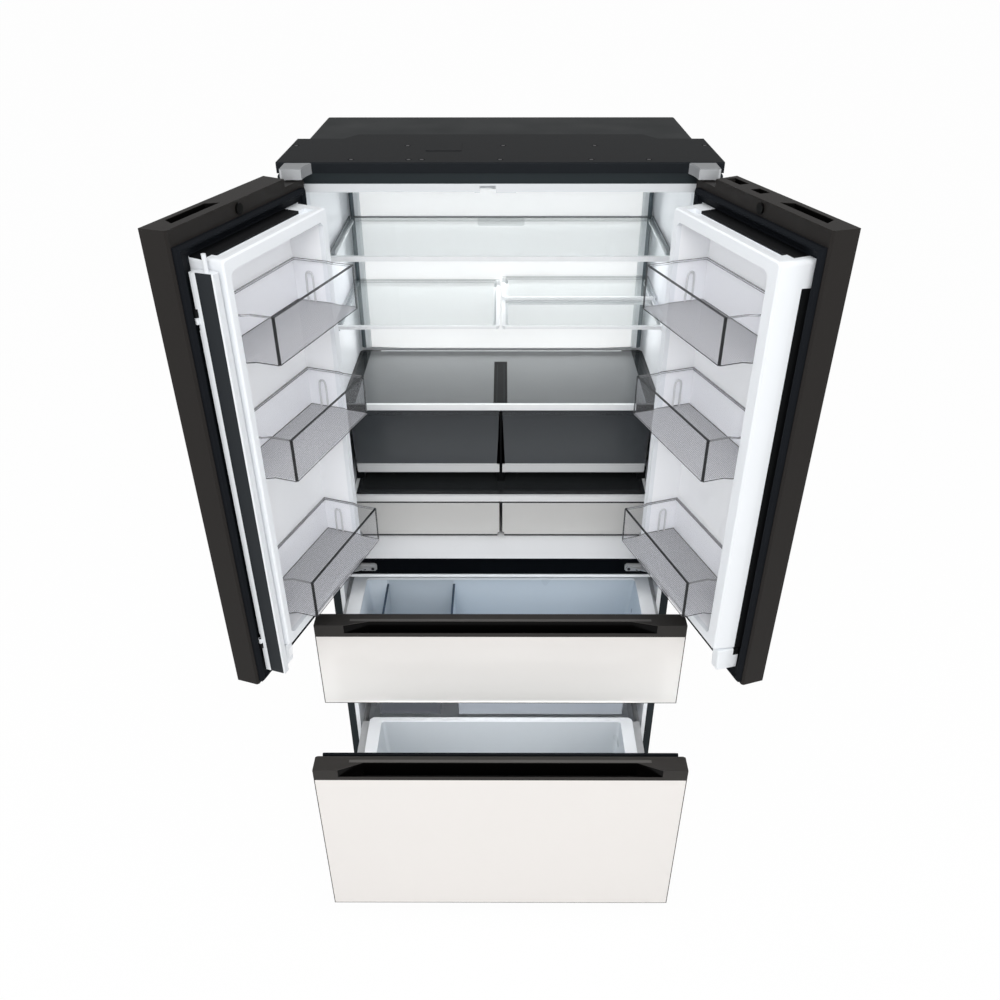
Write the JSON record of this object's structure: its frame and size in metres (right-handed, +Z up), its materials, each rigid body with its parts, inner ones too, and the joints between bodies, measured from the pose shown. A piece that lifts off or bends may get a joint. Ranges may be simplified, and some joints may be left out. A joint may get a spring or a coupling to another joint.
{
  "type": "refrigerator",
  "caption": "Refrigerator with a pair of upper doors over full-width freezer drawers, opened, with door bins, glass shelves, crispers and freezer trays.",
  "frame": {"origin": "on the floor, under the middle of the refrigerator as stored, with its doors and drawers open", "axes": "+Z up, -Y towards the person at the doors, +X to that person's right"},
  "size_m": [1.181, 1.0927, 1.8608],
  "materials": {
    "shell_dark": "fine matt paint",
    "foam": "rigid foam",
    "liner_white": "smooth moulded",
    "cover_dark": "fine texture",
    "cap_silver": "silver satin",
    "bracket_steel": "plated",
    "screw_dark": "blackened",
    "rail_black": "satin",
    "panel_white": "lit satin",
    "trim_grey": "satin",
    "clear_glass": "polished",
    "smoked_glass": "polished",
    "frame_grey": "satin",
    "runner_grey": "satin",
    "slide_steel": "zinc plated",
    "coil_aluminium": "plain",
    "cooling_white": "plain",
    "compressor_black": "gloss",
    "base_steel": "galvanised",
    "foot_black": "plain",
    "door_frame_brown": "satin",
    "front_glass": "glossy off-white pane",
    "gasket_rubber": "soft matt",
    "clear_bin": "clear",
    "mullion_white": "smooth",
    "mullion_steel": "satin",
    "drawer_frame_dark": "satin",
    "freezer_bin_blue": "translucent",
    "tray_smoked": "smoked clear",
    "tray_clear": "clear",
    "crisper_smoked": "smoked clear",
    "pantry_grey": "satin",
    "fan_grey": "plain"
  },
  "bodies": {
    "cabinet": {"outer_shell": "shell_dark", "insulation": "foam", "fresh_food_liner": "liner_white", "freezer_liner": "liner_white", "top_cover": "cover_dark", "hinge_caps": "cap_silver", "upper_hinge_brackets": "bracket_steel", "lower_hinge_brackets": "bracket_steel", "screws": "screw_dark", "mullion_guide": "liner_white", "cross_rails": "rail_black", "light_panel": "panel_white", "air_duct_trims": "trim_grey", "shelf_glass": "clear_glass", "shelf_frames": "frame_grey", "drawer_cover_glass": "smoked_glass", "drawer_runners": "runner_grey", "slide_channels": "slide_steel", "evaporator": "coil_aluminium", "evaporator_cover": "cooling_white", "compressor": "compressor_black", "condenser": "coil_aluminium", "machine_cover": "base_steel", "base_frame": "base_steel", "leveling_feet": "foot_black"},
    "left_door": {"left_door_frame": "door_frame_brown", "left_door_glass": "front_glass", "left_door_liner": "liner_white", "left_door_gasket": "gasket_rubber", "left_door_bins": "clear_bin"},
    "mullion": {"mullion_body": "mullion_white", "mullion_plate": "mullion_steel"},
    "right_door": {"right_door_frame": "door_frame_brown", "right_door_glass": "front_glass", "right_door_liner": "liner_white", "right_door_gasket": "gasket_rubber", "right_door_bins": "clear_bin"},
    "upper_drawer": {"upper_drawer_front": "drawer_frame_dark", "upper_drawer_panel": "front_glass", "upper_drawer_gasket": "gasket_rubber", "upper_drawer_bin": "freezer_bin_blue", "upper_drawer_slides": "slide_steel"},
    "upper_slides": {"upper_slide_members": "slide_steel"},
    "lower_drawer": {"lower_drawer_front": "drawer_frame_dark", "lower_drawer_panel": "front_glass", "lower_drawer_gasket": "gasket_rubber", "lower_drawer_bin": "freezer_bin_blue", "lower_drawer_slides": "slide_steel"},
    "lower_slides": {"lower_slide_members": "slide_steel"},
    "left_tray": {"left_freezer_tray": "tray_smoked"},
    "right_tray": {"right_freezer_tray": "tray_clear"},
    "left_crisper_drawer": {"left_crisper": "crisper_smoked"},
    "right_crisper_drawer": {"right_crisper": "crisper_smoked"},
    "left_pantry": {"left_pantry_drawer": "pantry_grey"},
    "right_pantry": {"right_pantry_drawer": "pantry_grey"},
    "sliding_shelf": {"sliding_shelf_glass": "clear_glass", "sliding_shelf_frame": "frame_grey"},
    "cold_fan": {"evaporator_fan": "fan_grey"},
    "machine_fan": {"condenser_fan": "fan_grey"},
    "rollers": {"rear_rollers": "foot_black"}
  },
  "joints": [
    {"name": "left_door_hinge", "type": "hinge", "parent": "cabinet", "child": "left_door", "pos_m": [-0.4315, -0.13001, 0.85], "axis": [0, 0, -1], "range_deg": [-108.6, 21]},
    {"name": "mullion_flip", "type": "hinge", "parent": "left_door", "child": "mullion", "pos_m": [-0.52285, -0.52922, 1.3], "axis": [0, 0, 1], "range_deg": [-90, 0]},
    {"name": "right_door_hinge", "type": "hinge", "parent": "cabinet", "child": "right_door", "pos_m": [0.4315, -0.13001, 0.85], "axis": [0, 0, 1], "range_deg": [-108.6, 21]},
    {"name": "upper_drawer_slide", "type": "slide", "parent": "cabinet", "child": "upper_drawer", "axis": [0, -1, 0], "range_m": [-0.181, 0.219]},
    {"name": "upper_member_slide", "type": "slide", "parent": "cabinet", "child": "upper_slides", "axis": [0, -1, 0], "range_m": [-0.0905, 0.1095]},
    {"name": "lower_drawer_slide", "type": "slide", "parent": "cabinet", "child": "lower_drawer", "axis": [0, -1, 0], "range_m": [-0.3885, 0.0495]},
    {"name": "lower_member_slide", "type": "slide", "parent": "cabinet", "child": "lower_slides", "axis": [0, -1, 0], "range_m": [-0.19425, 0.02475]},
    {"name": "left_tray_slide", "type": "slide", "parent": "cabinet", "child": "left_tray", "axis": [0, -1, 0], "range_m": [0, 0.3]},
    {"name": "right_tray_slide", "type": "slide", "parent": "cabinet", "child": "right_tray", "axis": [0, -1, 0], "range_m": [0, 0.3]},
    {"name": "left_crisper_slide", "type": "slide", "parent": "cabinet", "child": "left_crisper_drawer", "axis": [0, -1, 0], "range_m": [0, 0.21]},
    {"name": "right_crisper_slide", "type": "slide", "parent": "cabinet", "child": "right_crisper_drawer", "axis": [0, -1, 0], "range_m": [0, 0.21]},
    {"name": "left_pantry_slide", "type": "slide", "parent": "cabinet", "child": "left_pantry", "axis": [0, -1, 0], "range_m": [0, 0.16]},
    {"name": "right_pantry_slide", "type": "slide", "parent": "cabinet", "child": "right_pantry", "axis": [0, -1, 0], "range_m": [0, 0.16]},
    {"name": "shelf_slide", "type": "slide", "parent": "cabinet", "child": "sliding_shelf", "axis": [0, 1, 0], "range_m": [0, 0.16]},
    {"name": "evaporator_fan_spin", "type": "hinge", "parent": "cabinet", "child": "cold_fan", "pos_m": [0, 0.39199, 0.672], "axis": [0, 1, 0], "continuous": true},
    {"name": "condenser_fan_spin", "type": "hinge", "parent": "cabinet", "child": "machine_fan", "pos_m": [-0.08, 0.43999, 0.12], "axis": [1, 0, 0], "continuous": true},
    {"name": "roller_spin", "type": "hinge", "parent": "cabinet", "child": "rollers", "pos_m": [0, 0.47699, 0.019], "axis": [1, 0, 0], "continuous": true}
  ],
  "couplings": [
    {"joint": "upper_member_slide", "follows": "upper_drawer_slide", "ratio": 0.5},
    {"joint": "lower_member_slide", "follows": "lower_drawer_slide", "ratio": 0.5}
  ]
}
